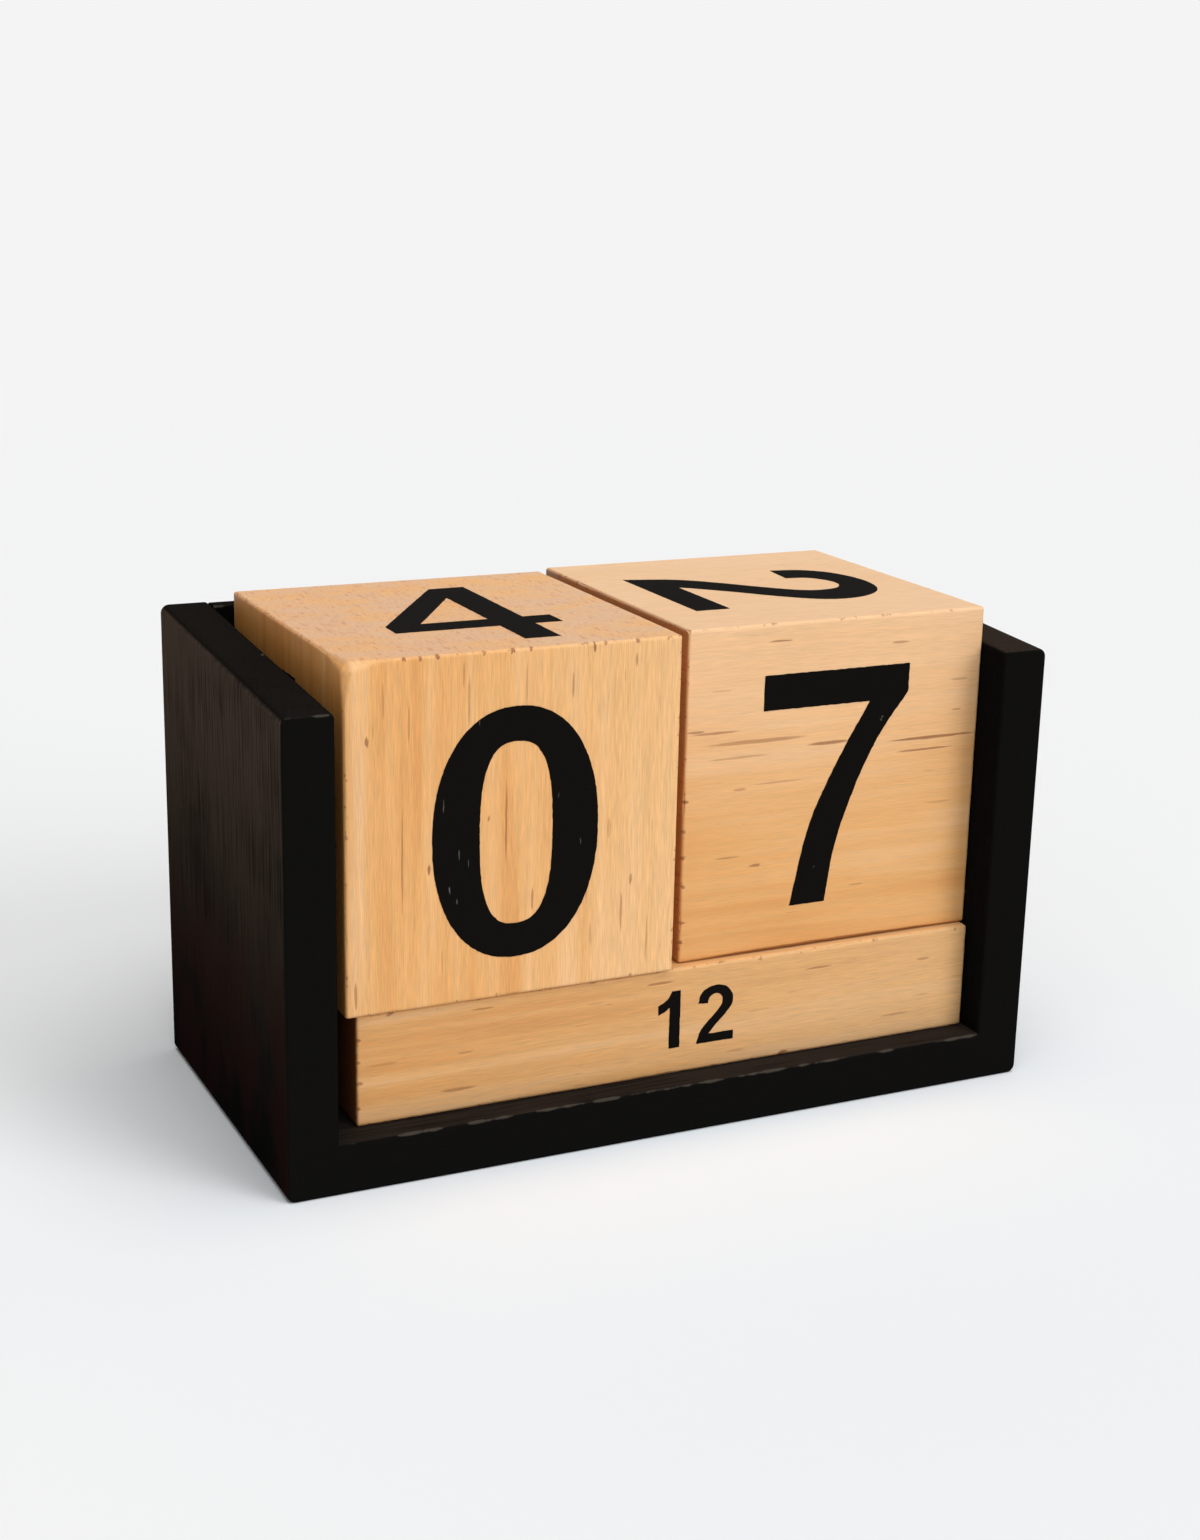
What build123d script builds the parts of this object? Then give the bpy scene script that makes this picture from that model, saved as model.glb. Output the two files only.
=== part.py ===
"""Perpetual desk calendar: two number cubes on three month bars, in a wooden holder.

Millimetres. X runs along the width, the open front looks towards -Y, Z is up.
The origin is on the table, under the middle of the holder.
"""

import os

from build123d import *

# ---- Driving sizes -------------------------------------------------------

CUBE = 50.3  # side of a number cube
CUBE_EDGE = 0.5  # rounding of a cube's edges
BAR_NAMES = ("front", "middle", "rear")  # month bars, together as deep as one cube
BAR_EDGE = 0.5  # rounding of a bar's edges

WALL = 7.5  # thickness of the two side walls
BASE = 7.6  # thickness of the base board
PANEL = 3.0  # thickness of the back panel
CUBE_REVEAL = 5.9  # how far the cubes stand above the walls at the front
WALL_RISE = 3.4  # how much higher the walls are at the back than at the front
OUTER_EDGE = 1.3  # rounding of the holder's long outer edges
TOP_INNER_EDGE = 0.8  # rounding of the walls' upper edges beside the cubes
FACE_EDGE = 0.5  # rounding around the holder's front and back
PANEL_EDGE = 0.4  # rounding of the back panel's upper edges

# ---- How the loose blocks stand in the holder ----------------------------

FRONT_RECESS = 4.3  # holder's front to the front bar
LEFT_CUBE_PROUD = 0.9  # left cube ahead of the front bar
RIGHT_CUBE_SETBACK = 1.45  # right cube behind the front of the bar
RIGHT_CUBE_BACK_GAP = 0.4  # right cube to the back panel
LEFT_CUBE_SIDE_GAP = 2.2  # left wall to the left cube
CUBE_GAP = 2.05  # between the cubes
RIGHT_CUBE_SIDE_GAP = 0.15  # right cube to the right wall
BAR_SIDE_GAP = 0.45  # bars to the right wall
BAR_GAP = 0.1  # from one bar to the next
STACK_GAP = 0.05  # under the bars, and between the bars and the cubes

# ---- Steel pins that hold the boards -------------------------------------

PIN_RADIUS = 0.5
PIN_LENGTH = 18.0
PIN_HEAD_RADIUS = 1.0
PIN_HEAD = 0.5  # thickness of a pin's head
PIN_SET = 1.0  # head below the wall's outer face, under filler and paint
PIN_FIT = 0.02  # hole's radius over the pin's
BASE_PIN_INSET = 12.0  # pins in the base board, from the front and the back
PANEL_PIN_INSET = 14.0  # pins in the back panel, from its lower and upper edge

NEAR = 0.01  # two positions this close count as the same

# ---- Worked out ----------------------------------------------------------

bar = (CUBE - (len(BAR_NAMES) - 1) * BAR_GAP) / len(BAR_NAMES)
bar_length = 2 * CUBE

pocket = LEFT_CUBE_SIDE_GAP + CUBE + CUBE_GAP + CUBE + RIGHT_CUBE_SIDE_GAP
width = pocket + 2 * WALL
depth = FRONT_RECESS + RIGHT_CUBE_SETBACK + CUBE + RIGHT_CUBE_BACK_GAP + PANEL

left = -width / 2
right = width / 2
pocket_left = left + WALL
pocket_right = right - WALL
front = -depth / 2
back = depth / 2
panel_front = back - PANEL

bar_bottom = BASE + STACK_GAP
cube_bottom = bar_bottom + bar + STACK_GAP
cube_top = cube_bottom + CUBE
wall_front_top = cube_top - CUBE_REVEAL
wall_back_top = wall_front_top + WALL_RISE
panel_top = wall_front_top + WALL_RISE * (panel_front - front) / depth

bars_front = front + FRONT_RECESS
bars_left = pocket_right - BAR_SIDE_GAP - bar_length
left_cube_left = pocket_left + LEFT_CUBE_SIDE_GAP
right_cube_left = pocket_right - RIGHT_CUBE_SIDE_GAP - CUBE


def block(low, high):
    """A sharp-edged block between two opposite corners."""
    size = [b - a for a, b in zip(low, high)]
    return Pos(*low) * Box(*size, align=(Align.MIN, Align.MIN, Align.MIN))


def wall_blank(x_low):
    """A side wall before rounding: its upper edge climbs towards the back."""
    outline = Polyline(
        (front, 0), (back, 0), (back, wall_back_top), (front, wall_front_top), close=True
    )
    profile = Plane.YZ.offset(x_low) * make_face(outline)
    return extrude(profile, amount=WALL, dir=(1, 0, 0))


def runs_front_to_back(edge):
    """True for an edge that runs the holder's whole depth."""
    return abs(edge.bounding_box().size.Y - depth) < NEAR


def stands_at(edge, distance):
    """True for an edge that lies this far from the middle, on either side."""
    return abs(abs(edge.center().X) - distance) < NEAR


def holder_blank():
    """Walls and base board as one rounded tray, open at the front and on top."""
    tray = wall_blank(left) + wall_blank(pocket_right)
    tray += block((pocket_left, front, 0), (pocket_right, back, BASE))

    outer = [e for e in tray.edges() if runs_front_to_back(e) and stands_at(e, right)]
    tray = fillet(outer, OUTER_EDGE)

    inner = [e for e in tray.edges() if runs_front_to_back(e) and stands_at(e, pocket_right)]
    upper = [e for e in inner if e.center().Z > cube_bottom]
    tray = fillet(upper, TOP_INNER_EDGE)

    ends = tray.faces().sort_by(Axis.Y)
    return fillet(ends[0].edges() + ends[-1].edges(), FACE_EDGE)


def cut_out(tray, x_low, x_high):
    """The board of the tray that lies between two X positions."""
    margin = OUTER_EDGE
    keep = block((x_low, front - margin, -margin), (x_high, back + margin, cube_top))
    return (tray & keep).solid()


def back_panel_blank():
    """The thin panel that closes the back, standing on the base board."""
    panel = block((pocket_left, panel_front, BASE), (pocket_right, back, panel_top))
    upper = panel.faces().sort_by(Axis.Z)[-1].edges().filter_by(Axis.X)
    return fillet(upper, PANEL_EDGE)


def pin(growth):
    """A pin driven towards +X, its head's face at the origin."""
    lying = Rot(0, 90, 0)
    grounded = (Align.CENTER, Align.CENTER, Align.MIN)
    head = Cylinder(PIN_HEAD_RADIUS + growth, PIN_HEAD, align=grounded)
    shank = Cylinder(PIN_RADIUS + growth, PIN_LENGTH + growth, align=grounded)
    return lying * (head + shank)


def pin_places(side):
    """Where a wall's four pins go: two in the base board, two in the panel."""
    x = side * (right - PIN_SET)
    turn = Rot(0, 0, 0) if side < 0 else Rot(0, 0, 180)
    base_ys = (front + BASE_PIN_INSET, back - BASE_PIN_INSET)
    panel_zs = (BASE + PANEL_PIN_INSET, panel_top - PANEL_PIN_INSET)
    places = [Pos(x, y, BASE / 2) * turn for y in base_ys]
    places += [Pos(x, panel_front + PANEL / 2, z) * turn for z in panel_zs]
    return places


def rounded_block(size, corner, edge):
    """A wooden block with all its edges rounded, from its lowest corner."""
    solid = Box(*size, align=(Align.MIN, Align.MIN, Align.MIN))
    return Pos(*corner) * fillet(solid.edges(), edge)


def number_cube(x_low, y_low):
    """One number cube, standing on the bars."""
    return rounded_block((CUBE, CUBE, CUBE), (x_low, y_low, cube_bottom), CUBE_EDGE)


def month_bar(row):
    """One month bar; row 0 is the one that shows at the front."""
    corner = (bars_left, bars_front + row * (bar + BAR_GAP), bar_bottom)
    return rounded_block((bar_length, bar, bar), corner, BAR_EDGE)


# ---- The pieces ----------------------------------------------------------

tray = holder_blank()
boards = {
    "left_wall": cut_out(tray, left - OUTER_EDGE, pocket_left),
    "right_wall": cut_out(tray, pocket_right, right + OUTER_EDGE),
    "base_board": cut_out(tray, pocket_left, pocket_right),
    "back_panel": back_panel_blank(),
}

pins = {}
for wall, side in (("left_wall", -1), ("right_wall", 1)):
    places = pin_places(side)
    pins[f"{wall}_pins"] = Compound([place * pin(0) for place in places])
    for place in places:
        for board in (wall, "base_board", "back_panel"):
            boards[board] -= place * pin(PIN_FIT)

blocks = {
    "left_number_cube": number_cube(left_cube_left, bars_front - LEFT_CUBE_PROUD),
    "right_number_cube": number_cube(right_cube_left, bars_front + RIGHT_CUBE_SETBACK),
}
for row, place in enumerate(BAR_NAMES):
    blocks[f"{place}_month_bar"] = month_bar(row)

os.makedirs("parts", exist_ok=True)
for name, shape in {**boards, **pins, **blocks}.items():
    export_step(shape, f"parts/{name}.step")
    box = shape.bounding_box()
    print(f"{name:18s} {box.min.X:7.2f} {box.min.Y:7.2f} {box.min.Z:6.2f}"
          f" to {box.max.X:7.2f} {box.max.Y:7.2f} {box.max.Z:6.2f}")
print(f"holder {width:.2f} x {depth:.2f}, walls {wall_front_top:.2f} to {wall_back_top:.2f},"
      f" cube top {cube_top:.2f}, bar {bar:.2f} x {bar_length:.2f}")
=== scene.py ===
# %% [markdown]
# # A perpetual desk calendar
#
# A black painted wooden holder, open in front and on top, carries two loose number cubes on three
# loose square month bars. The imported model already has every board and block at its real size,
# so this lesson adds what the eye needs: worn wooden blocks, printed numbers, a grain that runs
# through the wood, a thin paint, and the table, lamps and camera.

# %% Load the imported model
import math

import bmesh
import bpy
from mathutils import Matrix, Vector, noise


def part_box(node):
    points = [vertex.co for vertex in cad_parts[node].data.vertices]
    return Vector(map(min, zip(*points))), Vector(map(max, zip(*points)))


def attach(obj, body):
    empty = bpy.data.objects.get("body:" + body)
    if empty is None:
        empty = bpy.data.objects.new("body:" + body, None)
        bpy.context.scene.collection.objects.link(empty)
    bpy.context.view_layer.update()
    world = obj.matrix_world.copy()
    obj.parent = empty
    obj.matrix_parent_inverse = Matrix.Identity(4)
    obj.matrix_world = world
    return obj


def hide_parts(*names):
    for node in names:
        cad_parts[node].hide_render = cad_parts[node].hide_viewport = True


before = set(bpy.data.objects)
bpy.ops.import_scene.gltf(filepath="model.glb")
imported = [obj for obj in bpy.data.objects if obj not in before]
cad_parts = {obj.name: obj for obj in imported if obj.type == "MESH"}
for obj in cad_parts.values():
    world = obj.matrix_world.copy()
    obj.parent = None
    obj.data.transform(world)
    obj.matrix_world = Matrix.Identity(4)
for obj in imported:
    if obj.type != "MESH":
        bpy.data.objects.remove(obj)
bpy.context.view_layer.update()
MM = 0.001
print("nodes:", ", ".join(sorted(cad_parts)))

# %% [markdown]
# ## Short words for node trees
#
# Both the shapes and the finishes below are node trees. Written out in full, each node takes three
# or four lines, and the idea drowns. One helper makes a node and plugs its inputs. The others stand
# for one step of arithmetic, a product, a weighted sum, a soft step and a noise, so that a tree
# reads like a formula.

# %% A node, with its settings and inputs
def add_node(tree, kind, inputs=None, **settings):
    """Makes a node; an input is a number, a colour or another node's output socket."""
    made = tree.nodes.new(kind)
    for key, value in settings.items():
        setattr(made, key, value)
    for key, value in (inputs or {}).items():
        if isinstance(value, bpy.types.NodeSocket):
            tree.links.new(value, made.inputs[key])
        else:
            made.inputs[key].default_value = value
    return made


# %% Arithmetic on numbers
def calc(tree, operation, *values):
    """One step of arithmetic on numbers."""
    return add_node(tree, "ShaderNodeMath", dict(enumerate(values)), operation=operation).outputs[0]


def product(tree, first, *others):
    """Numbers multiplied together, from left to right."""
    for value in others:
        first = calc(tree, "MULTIPLY", first, value)
    return first


def weighted(tree, *terms):
    """The sum of numbers, each times its weight."""
    total = None
    for value, weight in terms:
        term = product(tree, value, weight)
        total = term if total is None else calc(tree, "ADD", total, term)
    return total


def step(tree, value, low, high):
    """Rises softly from 0 at low to 1 at high, or falls if low is above high."""
    limits = {"Value": value, "From Min": low, "From Max": high}
    made = add_node(tree, "ShaderNodeMapRange", limits, interpolation_type="SMOOTHSTEP")
    return made.outputs["Result"]


# %% Arithmetic on vectors
def vector(tree, operation, *values):
    """One step of arithmetic on vectors."""
    made = add_node(tree, "ShaderNodeVectorMath", dict(enumerate(values)), operation=operation)
    return made.outputs["Value" if operation in ("LENGTH", "DOT_PRODUCT") else "Vector"]


def scaled(tree, value, factor):
    """A vector times a number."""
    made = add_node(tree, "ShaderNodeVectorMath", {0: value, "Scale": factor}, operation="SCALE")
    return made.outputs["Vector"]


def xyz(tree, value):
    """The three parts of a vector."""
    return add_node(tree, "ShaderNodeSeparateXYZ", {0: value}).outputs


# %% Noise
NOISE_ROUGHNESS = 0.55  # how strong each finer layer of noise is beside the one before it


def noise_at(tree, place, size, detail=0.0, offset=(0, 0, 0)):
    """Smooth noise whose lumps are about this size, in metres along x, y and z."""
    moved = vector(tree, "ADD", place, offset)
    spread = vector(tree, "MULTIPLY", moved, tuple(1 / s for s in size))
    layers = {"Vector": spread, "Scale": 1.0, "Detail": detail, "Roughness": NOISE_ROUGHNESS}
    return add_node(tree, "ShaderNodeTexNoise", layers).outputs[0]


# %% [markdown]
# ## The wooden blocks
#
# The cubes and bars are sawn, sanded by hand and handled every day. Their edges are rounded, but
# never evenly: a corner is worn here, a splinter is missing there. A plain block with a bevel looks
# like plastic, so one Geometry Nodes tree makes all five blocks by one rule. It takes a fine grid
# on a box, squeezes the grid towards the edges, rounds it, and then takes a little wood off along
# the edges, wherever the noise says so. Wear only ever takes wood away, so a block stays inside its
# modelled size.

# %% Squeeze the grid towards the edges
SQUEEZE = 0.82  # 0 spaces the rows evenly, 1 crowds them most


def squeezed_grid(tree, at, half):
    """A box from -1 to 1 brought to size, by a mix of t and t * (3 - t * t) / 2 on each axis."""
    square = vector(tree, "MULTIPLY", at, at)
    bent = vector(tree, "MULTIPLY", at, vector(tree, "SUBTRACT", (3, 3, 3), square))
    squeezed = vector(tree, "ADD", scaled(tree, at, 1 - SQUEEZE), scaled(tree, bent, SQUEEZE / 2))
    return vector(tree, "MULTIPLY", squeezed, half)


# %% Round the edges
CORNER_REACH = 7 * MM  # how far the worn corner spreads


def rounded_box(tree, placed, given):
    """The points of a box with rounded edges, and the way out at each of them."""
    # The radius grows towards the one corner that hands have worn most.
    corner = vector(tree, "MULTIPLY", given["Worn corner"], given["Half size"])
    away = vector(tree, "LENGTH", vector(tree, "SUBTRACT", placed, corner))
    near_corner = step(tree, away, CORNER_REACH, 0.0)
    radius = calc(tree, "MULTIPLY_ADD", near_corner, given["Corner radius"], given["Edge radius"])

    # Take the nearest point of a smaller box, then go the radius towards the outside.
    radii = add_node(tree, "ShaderNodeCombineXYZ", dict.fromkeys(range(3), radius)).outputs[0]
    core = vector(tree, "SUBTRACT", given["Half size"], radii)
    inner = vector(tree, "MINIMUM", vector(tree, "MAXIMUM", placed, scaled(tree, core, -1)), core)
    outward = vector(tree, "NORMALIZE", vector(tree, "SUBTRACT", placed, inner))
    return vector(tree, "ADD", inner, scaled(tree, outward, radius)), outward


# %% Take wood off along the edges
FLAT, TURNED = 0.98, 0.6  # the largest squared part of the way out, on a face and on an edge
RUBBED_SPOTS = (6 * MM, 6 * MM, 6 * MM)
CHIPS = (2.4 * MM, 2.4 * MM, 2.4 * MM)
CHIP_NOISE = (0.64, 0.74)  # the noise over which a splinter goes missing


def worn_depth(tree, rounded, outward, given):
    """How much wood is gone at each point."""
    x, y, z = xyz(tree, vector(tree, "MULTIPLY", outward, outward))
    on_edge = step(tree, calc(tree, "MAXIMUM", calc(tree, "MAXIMUM", x, y), z), FLAT, TURNED)
    seeded = vector(tree, "ADD", rounded, given["Seed"])
    rub = noise_at(tree, seeded, RUBBED_SPOTS, detail=2.0)
    chip = step(tree, noise_at(tree, seeded, CHIPS, detail=1.0), *CHIP_NOISE)
    rubbed_off = product(tree, rub, given["Wear"], on_edge)
    return calc(tree, "ADD", rubbed_off, product(tree, chip, given["Splinters"], on_edge))


# %% The tree of a worn block
BLOCK_INPUTS = {
    "Centre": "NodeSocketVector",
    "Half size": "NodeSocketVector",
    "Edge radius": "NodeSocketFloat",
    "Worn corner": "NodeSocketVector",
    "Corner radius": "NodeSocketFloat",
    "Wear": "NodeSocketFloat",
    "Splinters": "NodeSocketFloat",
    "Seed": "NodeSocketVector",
    "Rows X": "NodeSocketInt",
    "Rows Y": "NodeSocketInt",
    "Rows Z": "NodeSocketInt",
    "Material": "NodeSocketMaterial",
}


def worn_block_tree():
    tree = bpy.data.node_groups.new("worn wooden block", "GeometryNodeTree")
    sockets = tree.interface
    sockets.new_socket(name="Geometry", in_out="OUTPUT", socket_type="NodeSocketGeometry")
    for name, kind in BLOCK_INPUTS.items():
        sockets.new_socket(name=name, in_out="INPUT", socket_type=kind)
    given = tree.nodes.new("NodeGroupInput").outputs

    rows = {f"Vertices {axis}": given[f"Rows {axis}"] for axis in "XYZ"}
    box = add_node(tree, "GeometryNodeMeshCube", {"Size": (2, 2, 2), **rows})
    at = add_node(tree, "GeometryNodeInputPosition").outputs[0]
    placed = squeezed_grid(tree, at, given["Half size"])
    rounded, outward = rounded_box(tree, placed, given)
    inward = product(tree, worn_depth(tree, rounded, outward, given), -1.0)
    cut = vector(tree, "ADD", rounded, scaled(tree, outward, inward))

    moves = {"Geometry": box.outputs["Mesh"], "Position": vector(tree, "ADD", cut, given["Centre"])}
    shaped = add_node(tree, "GeometryNodeSetPosition", moves)
    real = add_node(tree, "GeometryNodeRealizeInstances", {"Geometry": shaped.outputs[0]})
    finish = {"Geometry": real.outputs[0], "Material": given["Material"]}
    dressed = add_node(tree, "GeometryNodeSetMaterial", finish)
    tree.links.new(dressed.outputs[0], tree.nodes.new("NodeGroupOutput").inputs[0])
    return tree


BLOCK_TREE = worn_block_tree()
print("worn block tree:", len(BLOCK_TREE.nodes), "nodes")

# %% [markdown]
# A modifier's inputs are set by the socket's identifier, before the object is first evaluated. The
# result is then frozen into a plain mesh, which is what rides on a body.

# %% Make one block in the place of its node
EDGE_ROUNDING = 0.32 * MM
RUB_DEPTH, SPLINTER_DEPTH = 0.16 * MM, 0.25 * MM  # the most wood that goes from an edge
FILM = 0.04 * MM  # room for the film of ink of the numbers, all round a block


def plain_mesh(source, name):
    """The evaluated mesh of an object, as a new object of its own."""
    seen = source.evaluated_get(bpy.context.evaluated_depsgraph_get())
    mesh = bpy.data.meshes.new_from_object(seen)
    mesh.name = name
    made = bpy.data.objects.new(name, mesh)
    bpy.context.scene.collection.objects.link(made)
    return made


def worn_block(node, rows, seed, material, corner=(0, 0, 0), corner_radius=0.0):
    """The worn block that stands for a modelled cube or bar; corner is its most worn one."""
    low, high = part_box(node)
    source = bpy.data.objects.new("block source", bpy.data.meshes.new("block source"))
    bpy.context.scene.collection.objects.link(source)
    modifier = source.modifiers.new("worn block", "NODES")
    modifier.node_group = BLOCK_TREE
    values = {
        "Centre": (low + high) / 2,
        "Half size": (high - low) / 2 - Vector((FILM, FILM, FILM)),
        "Edge radius": EDGE_ROUNDING,
        "Worn corner": Vector(corner),
        "Corner radius": corner_radius,
        "Wear": RUB_DEPTH,
        "Splinters": SPLINTER_DEPTH,
        "Seed": Vector((seed, 2 * seed, 3 * seed)),
        "Rows X": rows[0],
        "Rows Y": rows[1],
        "Rows Z": rows[2],
        "Material": material,
    }
    for item in BLOCK_TREE.interface.items_tree:
        if item.in_out == "INPUT":
            modifier[item.identifier] = values[item.name]
    made = plain_mesh(source, node.replace("_", "-") + "-block")
    bpy.data.objects.remove(source)
    made.data.polygons.foreach_set("use_smooth", [True] * len(made.data.polygons))
    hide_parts(node)
    print(made.name, len(made.data.polygons), "faces")
    return made


# %% [markdown]
# ## The wood
#
# Bare softwood isn't a pattern on a surface, it is a block cut out of a tree. The finish is built
# that way: every block looks into its own piece of one imagined trunk, whose grain runs along one
# axis. Year rings are cylinders about the pith, far to the side. Fibres and resin streaks are noise
# drawn out along the grain. On a face that cuts across the grain the same noise gives dots and
# arcs, so the end grain needs no work of its own apart from its duller, pinker colour.

# %% Where a point lies in the wood
GRAIN_ORDER = {"X": (1, 2, 0), "Y": (2, 0, 1), "Z": (0, 1, 2)}  # axes across, across and along


def object_place(tree):
    """Where a point of the surface lies on its object."""
    return add_node(tree, "ShaderNodeTexCoord").outputs["Object"]


def way_out(tree):
    """Which way the surface looks."""
    return add_node(tree, "ShaderNodeTexCoord").outputs["Normal"]


def grain_place(tree, grain, shift):
    """Object coordinates turned so that z runs along the grain, moved into the trunk."""
    parts = xyz(tree, object_place(tree))
    order = {i: parts[axis] for i, axis in enumerate(GRAIN_ORDER[grain])}
    return vector(tree, "ADD", add_node(tree, "ShaderNodeCombineXYZ", order).outputs[0], shift)


# %% What every finish begins and ends with
def new_material(name):
    """A material with an empty tree."""
    material = bpy.data.materials.new(name)
    material.use_nodes = True
    material.node_tree.nodes.clear()
    return material, material.node_tree


def blend_colours(tree, factor, first, second, kind="MIX"):
    """Mixes two colours, or multiplies the first by the second."""
    inputs = {"Factor": factor, "A": first, "B": second}
    made = tree.nodes.new("ShaderNodeMix")
    made.data_type = "RGBA"
    made.blend_type = kind
    for socket in made.inputs:
        if socket.enabled and socket.name in inputs:
            value = inputs[socket.name]
            if isinstance(value, bpy.types.NodeSocket):
                tree.links.new(value, socket)
            else:
                socket.default_value = value
    return next(s for s in made.outputs if s.enabled)


def finish_shader(tree, colour, roughness, bump, height, **constants):
    """The shader and the output, with a bump of this height in metres."""
    relief = add_node(tree, "ShaderNodeBump", {"Height": bump, "Distance": height, "Strength": 1.0})
    inputs = {"Base Color": colour, "Roughness": roughness, "Normal": relief.outputs[0]}
    shader = add_node(tree, "ShaderNodeBsdfPrincipled", {**inputs, **constants})
    out = tree.nodes.new("ShaderNodeOutputMaterial")
    tree.links.new(shader.outputs[0], out.inputs["Surface"])


# %% [markdown]
# The wood's tone is added up first and turned into colours afterwards. Broad clouds, year rings,
# long bands and fibres each add their share to it. Sapwood, the pale young wood on the outside of
# the trunk, takes some off.

# %% Growth: fibres, year rings and sapwood
# The sizes of the noises run across, across and along the grain.
CLOUDS = (13 * MM, 13 * MM, 60 * MM)
WANDER = (34 * MM, 34 * MM, 130 * MM)
BANDS = (2.3 * MM, 2.3 * MM, 70 * MM)
FIBRES = (0.55 * MM, 0.55 * MM, 15 * MM)
FINE_FIBRES = (0.15 * MM, 0.15 * MM, 3.2 * MM)

RING_WANDER = 11 * MM  # how far a year ring strays from a circle
PITH_DRIFT = 0.05  # how much the rings change along the grain
EARLY, LATE, YEAR_END = 0.2, 0.9, 1.0  # parts of a year: it darkens slowly and ends at once
SAP_WANDER = 30 * MM  # how far the border of the sapwood strays


def late_wood(tree, at, wander, ring):
    """The dark part of each year's growth; ring is how much the trunk grew in a year."""
    from_pith = vector(tree, "LENGTH", vector(tree, "MULTIPLY", at, (1, 1, PITH_DRIFT)))
    radius = calc(tree, "ADD", from_pith, product(tree, wander, RING_WANDER))
    year = calc(tree, "FRACT", calc(tree, "DIVIDE", radius, ring))
    return product(tree, step(tree, year, EARLY, LATE), step(tree, year, YEAR_END, LATE))


def sapwood_share(tree, place, wander, axis, start, end):
    """0 in the heartwood at start, 1 in the sapwood at end, along one axis of the block."""
    stray = product(tree, calc(tree, "SUBTRACT", wander, 0.5), SAP_WANDER)
    return step(tree, calc(tree, "ADD", xyz(tree, place)[axis], stray), start, end)


# %% End grain
PINE_MIDDLE = (0.695, 0.358, 0.125, 1)
PINE_END = (0.615, 0.375, 0.220, 1)
BLUSH = (0.54, 0.225, 0.12, 1)
END_CLOUDS = (9 * MM, 5 * MM, 9 * MM)
BLUSH_FLECKS = (0.5 * MM, 2.2 * MM, 0.5 * MM)
ASLANT, SQUARE = 0.5, 0.95  # how squarely a face must be cut across the grain
END_SHARE = 0.8  # how far the end grain's own colour takes over


def with_end_grain(tree, place, colour, grain):
    """The same wood, duller and pinker on the faces that cut across its grain."""
    lengthwise = tuple(1.0 if axis == grain else 0.0 for axis in "XYZ")
    across = calc(tree, "ABSOLUTE", vector(tree, "DOT_PRODUCT", way_out(tree), lengthwise))
    cloud = noise_at(tree, place, END_CLOUDS, detail=3.0)
    dull = blend_colours(tree, step(tree, cloud, 0.35, 0.72), PINE_END, PINE_MIDDLE)
    fleck = noise_at(tree, place, BLUSH_FLECKS, detail=1.0, offset=(0.6, 0.2, 0.4))
    pinker = blend_colours(tree, step(tree, fleck, 0.56, 0.74), dull, BLUSH)
    share = product(tree, step(tree, across, ASLANT, SQUARE), END_SHARE)
    return blend_colours(tree, share, colour, pinker)


# %% [markdown]
# Marks are what an eye remembers a piece of wood by: short dark streaks of resin, nicks, and dirt in
# the torn fibres of an edge, and painted shade in the gaps where blocks meet. Each streak is a soft
# stretched ball, cut by the surface. Its outline would be too smooth, so the point that looks for it
# is first nudged about by noise.

# %% Streaks with ragged ends
MARK_CORE = 0.6  # a mark is full up to this share of its half size, and fades out beyond it
FRAY_SIZE = (0.5 * MM, 0.5 * MM, 3.0 * MM)
FRAY_ALONG, FRAY_ACROSS = 1.8 * MM, 0.24 * MM


def streak_marks(tree, place, marks):
    """The strongest of a list of short marks: (centre, half size, strength), in metres."""
    strongest = None
    for centre, half, strength in marks:
        from_centre = vector(tree, "SUBTRACT", place, centre)
        near = vector(tree, "MULTIPLY", from_centre, tuple(1 / h for h in half))
        shade = product(tree, step(tree, vector(tree, "LENGTH", near), 1.0, MARK_CORE), strength)
        strongest = shade if strongest is None else calc(tree, "MAXIMUM", strongest, shade)
    return strongest


def frayed(tree, place, at, grain):
    """A point nudged far along the grain and a little across it, so that marks get ragged ends."""
    drawn_out = vector(tree, "MULTIPLY", at, tuple(1 / s for s in FRAY_SIZE))
    wild = add_node(tree, "ShaderNodeTexNoise", {"Vector": drawn_out, "Scale": 1.0, "Detail": 2.0})
    nudge = vector(tree, "SUBTRACT", wild.outputs["Color"], (0.5, 0.5, 0.5))
    reach = tuple(FRAY_ALONG if axis == grain else FRAY_ACROSS for axis in "XYZ")
    return vector(tree, "ADD", place, vector(tree, "MULTIPLY", nudge, reach))


# %% Dirt and painted shade along the edges
TORN_SPOTS = (1.1 * MM, 1.1 * MM, 1.1 * MM)
DIRT_AND_SHADE_REACH = 0.75 * MM  # how far it spreads where fibres are torn
DIRT_AND_SHADE_SHARE = 0.5


def to_nearest_edge(tree, place, low, high):
    """For a point on a box, the distance to the box's nearest edge."""
    half = (high - low) / 2
    from_middle = vector(tree, "ABSOLUTE", vector(tree, "SUBTRACT", place, (high + low) / 2))
    a, b, c = xyz(tree, vector(tree, "SUBTRACT", half, from_middle))
    smaller, larger = calc(tree, "MINIMUM", a, b), calc(tree, "MAXIMUM", a, b)
    return calc(tree, "MAXIMUM", smaller, calc(tree, "MINIMUM", larger, c))


def edge_dirt_and_shade(tree, place, low, high):
    """How dark a block's edges are: dirt in torn fibres, and painted shade where the blocks meet."""
    edge = to_nearest_edge(tree, place, low, high)
    torn = noise_at(tree, place, TORN_SPOTS, detail=2.0, offset=(0.3, 0.3, 0.3))
    reach = product(tree, step(tree, torn, 0.52, 0.78), DIRT_AND_SHADE_REACH)
    left_over = calc(tree, "SUBTRACT", edge, reach)
    return product(tree, step(tree, left_over, 0.12 * MM, -0.15 * MM), DIRT_AND_SHADE_SHARE)


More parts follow.
